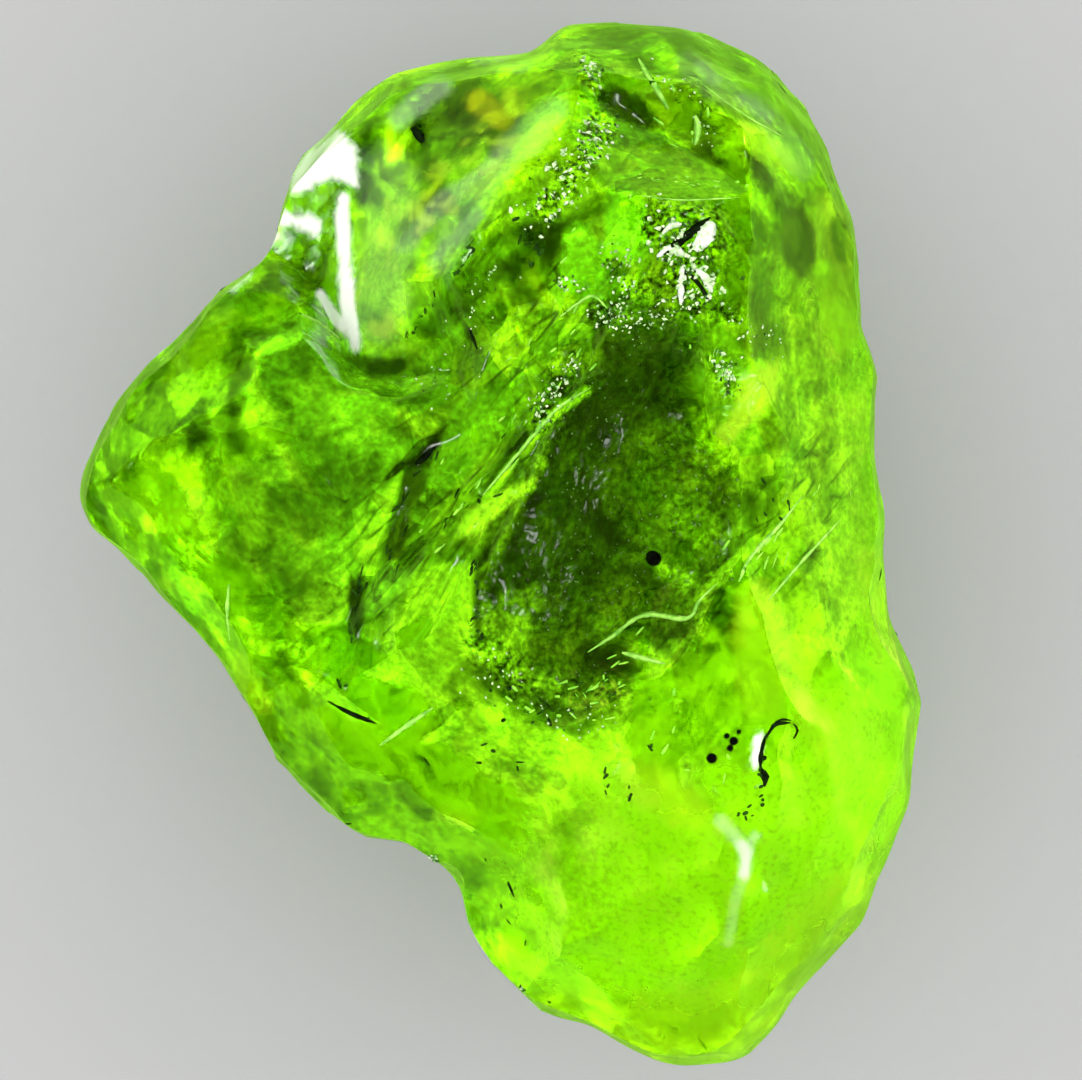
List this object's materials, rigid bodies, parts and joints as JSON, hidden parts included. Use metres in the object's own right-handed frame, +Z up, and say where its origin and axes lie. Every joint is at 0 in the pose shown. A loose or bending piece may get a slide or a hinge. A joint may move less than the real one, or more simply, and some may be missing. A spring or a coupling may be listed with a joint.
{
  "type": "rough peridot crystal",
  "caption": "Rough uncut peridot crystal: a clear lime-green lump with broken and stepped faces, a hollow in its front and a flat break that it lies on.",
  "frame": {"origin": "middle of the box of the stone, on the surface that it lies on", "axes": "+X to the right and +Y to the top of the side that the picture shows, +Z up out of that side"},
  "size_m": [0.0112, 0.014, 0.0077],
  "materials": {
    "peridot": "clear, glassy on fresh breaks and finely etched on ridges"
  },
  "bodies": {
    "root": {"peridot_crystal": "peridot"}
  },
  "joints": []
}
